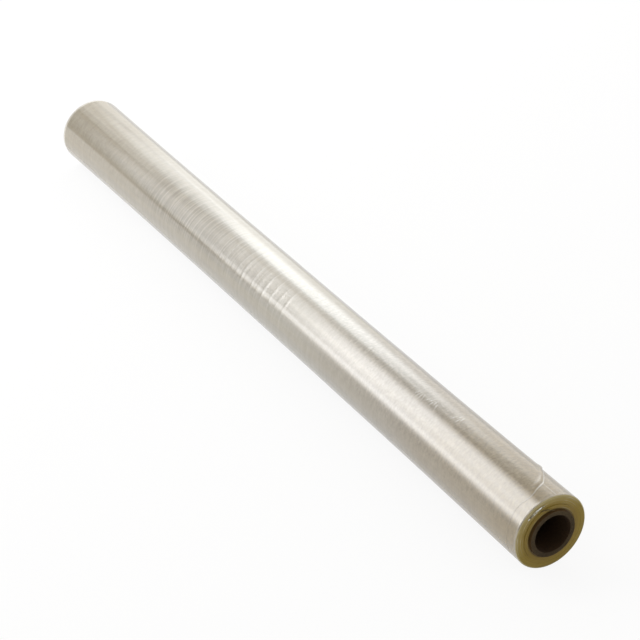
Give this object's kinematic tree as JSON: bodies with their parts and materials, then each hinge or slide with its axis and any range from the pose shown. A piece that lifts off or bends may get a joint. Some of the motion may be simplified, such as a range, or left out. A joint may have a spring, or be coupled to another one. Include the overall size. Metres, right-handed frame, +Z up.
{
  "type": "roll of shrink film",
  "caption": "Long slim roll of clear shrink film wound on a paper tube, lying on its side, with the last turn loose and torn at one end.",
  "frame": {"origin": "on the floor, midway along the roll and under its axis", "axes": "+X along the roll towards its torn end, +Z up, -Y towards the front, on which the torn edge runs"},
  "size_m": [0.615, 0.0509, 0.0507],
  "materials": {
    "clear_film": "gloss",
    "tube_paper": "matte"
  },
  "bodies": {
    "root": {"film_roll": "clear_film", "paper_tube": "tube_paper"}
  },
  "joints": []
}
